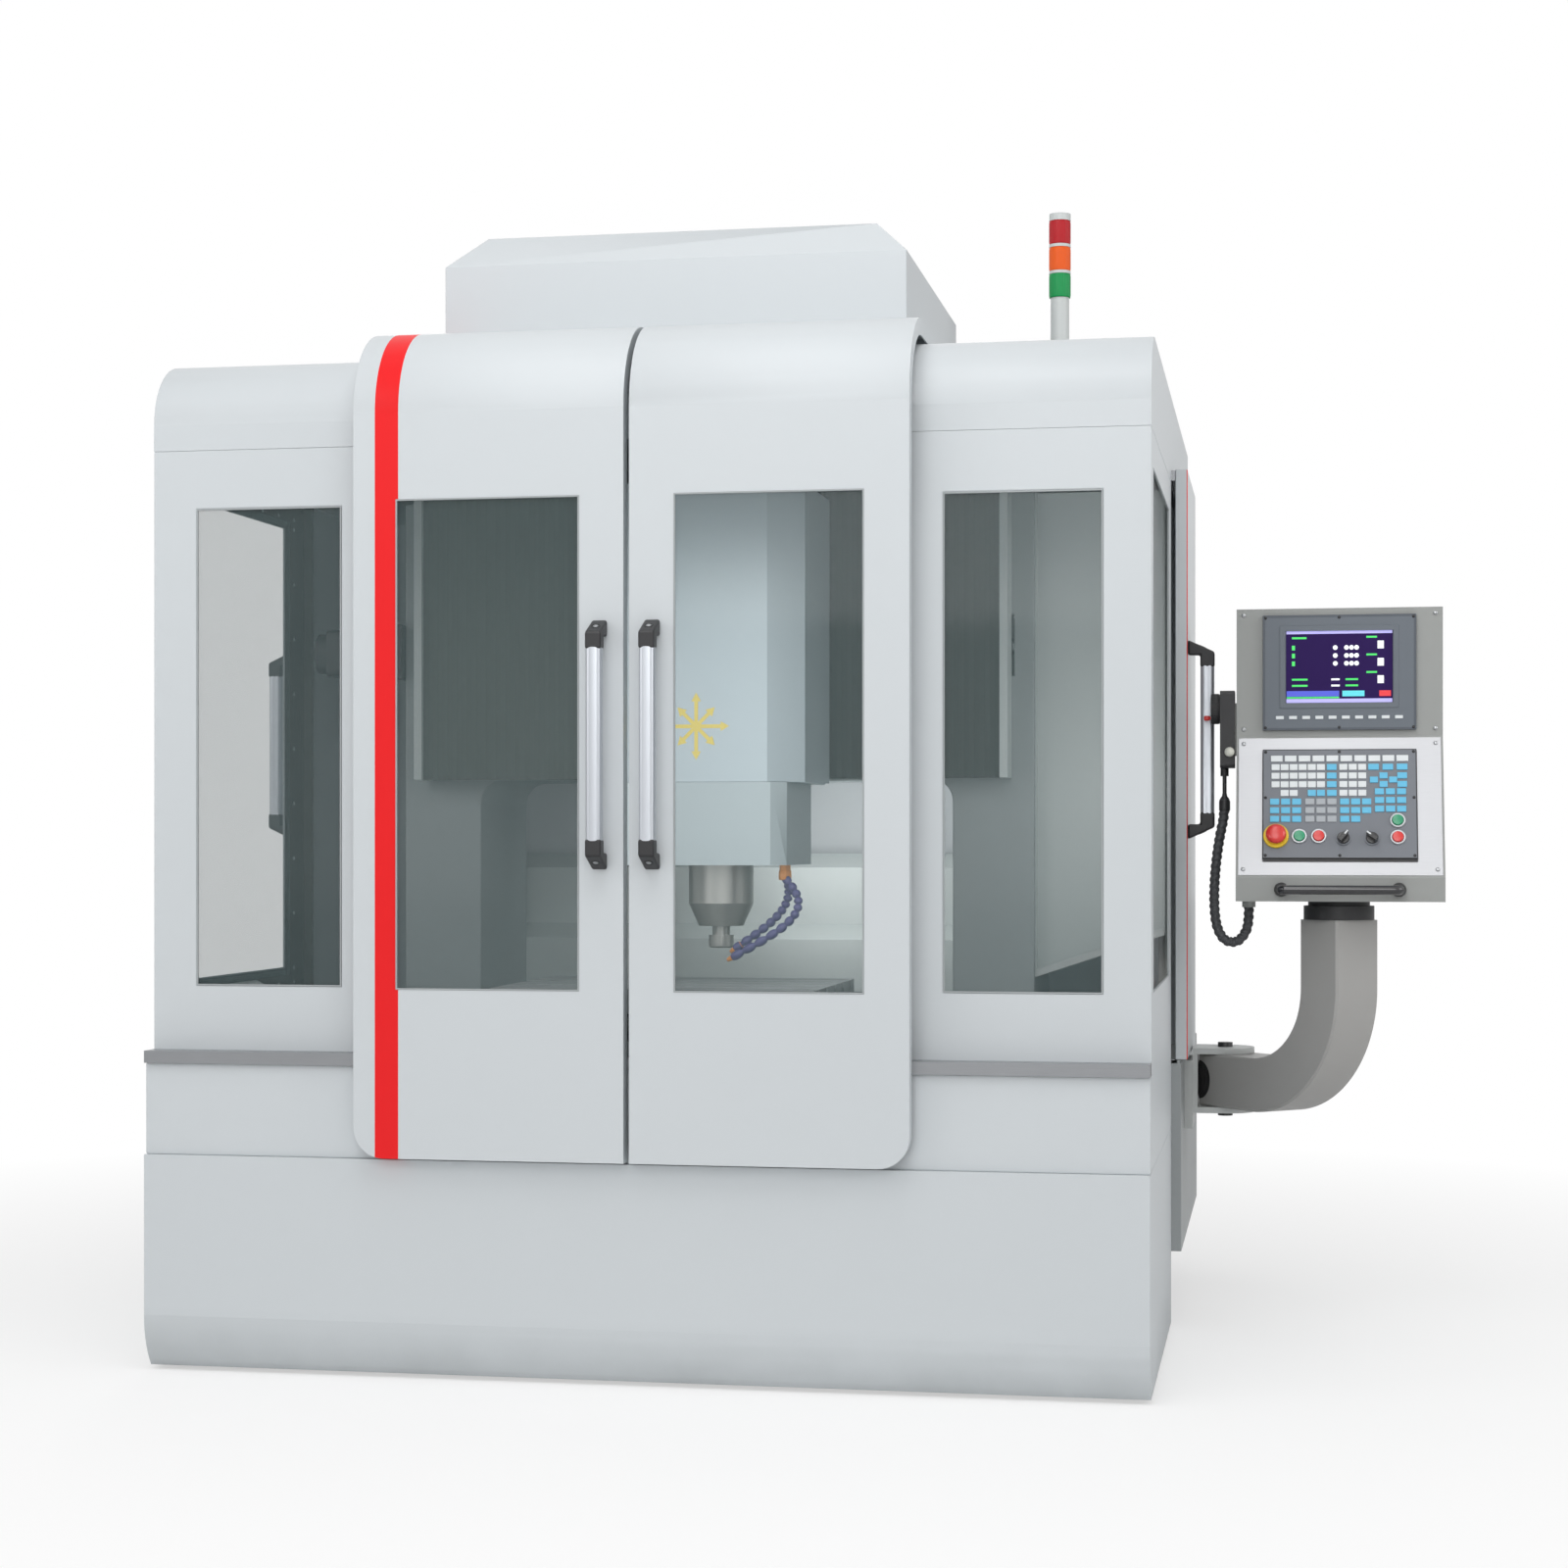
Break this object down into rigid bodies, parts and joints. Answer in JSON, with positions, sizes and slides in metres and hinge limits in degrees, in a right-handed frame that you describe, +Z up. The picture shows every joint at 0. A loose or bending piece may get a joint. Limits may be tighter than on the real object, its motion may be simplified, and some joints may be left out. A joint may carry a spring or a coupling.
{
  "type": "cnc engraving machine",
  "caption": "Enclosed engraving and milling machine with sliding arched doors, a gantry spindle over a T-slot table and a control panel on a swinging arm",
  "frame": {"origin": "on the floor, at the centre of the four anchor holes, under the middle of the cabin", "axes": "+X to the right of an operator who faces the doors, +Y from the doors into the machine, +Z up"},
  "size_m": [2.4044, 1.777, 2.231],
  "materials": {
    "cabin_paint": "smooth light grey powder coat",
    "grey_paint": "smooth mid grey paint",
    "window_glass": "clear flat pane",
    "handle_tube": "anodised tube in black ends",
    "casting_paint": "grey casting paint",
    "head_paint": "light grey sheet",
    "end_plate_paint": "pale sheet",
    "ground_steel": "ground steel",
    "table_iron": "ground cast iron",
    "bellows_rubber": "coated fabric and rubber",
    "motor_black": "black paint",
    "hose_plastic": "dark blue link plastic",
    "lamp_base": "pale plastic tube and rings",
    "lamp_lens": "coloured lens",
    "dark_plastic": "grey moulded plastic",
    "red_plastic": "red moulded plastic",
    "green_plastic": "green moulded plastic",
    "cord_jacket": "grey wrapped hose"
  },
  "bodies": {
    "machine": {"foot_plates": "ground_steel", "machine_bed": "casting_paint", "gantry_casting": "casting_paint", "linear_guide_rails": "ground_steel", "servo_motors": "motor_black", "bellows_end_plates": "end_plate_paint", "x_bellows": "bellows_rubber", "y_bellows": "bellows_rubber", "chip_trays": "end_plate_paint", "base_skirt": "cabin_paint", "lower_band": "cabin_paint", "door_guide_rails": "grey_paint", "front_panels": "cabin_paint", "side_panels": "cabin_paint", "fixed_windows": "window_glass", "roof_cover": "cabin_paint", "top_housing": "cabin_paint", "side_boxes": "grey_paint", "rear_cabinet": "cabin_paint", "stack_light_base": "lamp_base", "stack_light_lenses": "lamp_lens", "arm_bracket": "grey_paint", "cable_boot": "bellows_rubber"},
    "left_door": {"left_door_panel": "cabin_paint", "left_door_window": "window_glass", "left_door_handle": "handle_tube"},
    "right_door": {"right_door_panel": "cabin_paint", "right_door_window": "window_glass", "right_door_handle": "handle_tube"},
    "left_side_door": {"left_side_door": "cabin_paint", "left_side_door_handle": "handle_tube"},
    "right_side_door": {"right_side_door": "cabin_paint", "right_side_door_handle": "handle_tube"},
    "x_saddle": {"saddle_plate": "casting_paint", "z_servo_motor": "motor_black"},
    "z_head": {"head_casting": "casting_paint", "head_cover": "head_paint", "spindle_housing": "ground_steel", "coolant_hoses": "hose_plastic"},
    "spindle": {"spindle_shaft": "ground_steel"},
    "y_table": {"t_slot_table": "table_iron"},
    "x_screw": {"x_ball_screw": "ground_steel"},
    "y_screw": {"y_ball_screw": "ground_steel"},
    "z_screw": {"z_ball_screw": "ground_steel"},
    "control_arm": {"control_arm": "grey_paint"},
    "control_panel": {"arm_collar": "grey_paint", "panel_housing": "grey_paint", "display_unit": "dark_plastic", "keypad_unit": "dark_plastic", "grab_handle": "handle_tube", "handwheel_body": "dark_plastic", "handwheel_cord": "cord_jacket"},
    "e_stop": {"e_stop_button": "red_plastic"},
    "cycle_start": {"cycle_start_button": "green_plastic"},
    "cycle_stop": {"cycle_stop_button": "red_plastic"},
    "power_on": {"power_on_button": "green_plastic"},
    "power_off": {"power_off_button": "red_plastic"},
    "mode_knob": {"mode_selector": "dark_plastic"},
    "speed_knob": {"speed_selector": "dark_plastic"},
    "handwheel": {"handwheel_dial": "dark_plastic"}
  },
  "joints": [
    {"name": "left_door_slide", "type": "slide", "parent": "machine", "child": "left_door", "axis": [-1, 0, 0], "range_m": [0, 0.38]},
    {"name": "right_door_slide", "type": "slide", "parent": "machine", "child": "right_door", "axis": [1, 0, 0], "range_m": [0, 0.38]},
    {"name": "left_side_door_slide", "type": "slide", "parent": "machine", "child": "left_side_door", "axis": [0, 1, 0], "range_m": [0, 0.42]},
    {"name": "right_side_door_slide", "type": "slide", "parent": "machine", "child": "right_side_door", "axis": [0, 1, 0], "range_m": [0, 0.42]},
    {"name": "x_slide", "type": "slide", "parent": "machine", "child": "x_saddle", "axis": [1, 0, 0], "range_m": [-0.36, 0.24], "deforming": ["x_bellows"]},
    {"name": "z_slide", "type": "slide", "parent": "x_saddle", "child": "z_head", "axis": [0, 0, 1], "range_m": [-0.03, 0.2]},
    {"name": "y_slide", "type": "slide", "parent": "machine", "child": "y_table", "axis": [0, 1, 0], "range_m": [-0.08, 0.32], "deforming": ["y_bellows"]},
    {"name": "spindle_spin", "type": "hinge", "parent": "z_head", "child": "spindle", "pos_m": [0.06, -0.375, 0.8], "axis": [0, 0, 1], "continuous": true},
    {"name": "x_screw_spin", "type": "hinge", "parent": "machine", "child": "x_screw", "pos_m": [0, -0.137, 1.34], "axis": [1, 0, 0], "continuous": true},
    {"name": "y_screw_spin", "type": "hinge", "parent": "machine", "child": "y_screw", "pos_m": [0, -0.325, 0.572], "axis": [0, 1, 0], "continuous": true},
    {"name": "z_screw_spin", "type": "hinge", "parent": "x_saddle", "child": "z_screw", "pos_m": [0.06, -0.279, 1.4], "axis": [0, 0, 1], "continuous": true},
    {"name": "arm_swing", "type": "hinge", "parent": "machine", "child": "control_arm", "pos_m": [1, 0.175, 0.47], "axis": [0, 0, 1], "range_deg": [0, 80], "deforming": ["cable_boot"]},
    {"name": "panel_swivel", "type": "hinge", "parent": "control_arm", "child": "control_panel", "pos_m": [1.22437, -0.08311, 0.82], "axis": [0, 0, 1], "range_deg": [0, 60]},
    {"name": "e_stop_press", "type": "slide", "parent": "control_panel", "child": "e_stop", "axis": [0, 0.9445, -0.3287], "range_m": [0, 0.004], "stiffness_N_per_m": 2000},
    {"name": "cycle_start_press", "type": "slide", "parent": "control_panel", "child": "cycle_start", "axis": [0, 0.9445, -0.3287], "range_m": [0, 0.004], "stiffness_N_per_m": 800},
    {"name": "cycle_stop_press", "type": "slide", "parent": "control_panel", "child": "cycle_stop", "axis": [0, 0.9445, -0.3287], "range_m": [0, 0.004], "stiffness_N_per_m": 800},
    {"name": "power_on_press", "type": "slide", "parent": "control_panel", "child": "power_on", "axis": [0, 0.9445, -0.3287], "range_m": [0, 0.004], "stiffness_N_per_m": 800},
    {"name": "power_off_press", "type": "slide", "parent": "control_panel", "child": "power_off", "axis": [0, 0.9445, -0.3287], "range_m": [0, 0.004], "stiffness_N_per_m": 800},
    {"name": "mode_knob_turn", "type": "hinge", "parent": "control_panel", "child": "mode_knob", "pos_m": [1.23107, -0.17723, 0.96306], "axis": [0, -0.9445, 0.3287], "range_deg": [-60, 60]},
    {"name": "speed_knob_turn", "type": "hinge", "parent": "control_panel", "child": "speed_knob", "pos_m": [1.28497, -0.17723, 0.96306], "axis": [0, -0.9445, 0.3287], "range_deg": [-60, 60]},
    {"name": "handwheel_turn", "type": "hinge", "parent": "control_panel", "child": "handwheel", "pos_m": [0.98737, -0.06211, 1.216], "axis": [1, 0, 0], "continuous": true}
  ],
  "couplings": [
    {"joint": "x_screw_spin", "follows": "x_slide", "rad_per_m": 628.32},
    {"joint": "y_screw_spin", "follows": "y_slide", "rad_per_m": 628.32},
    {"joint": "z_screw_spin", "follows": "z_slide", "rad_per_m": 628.32}
  ]
}
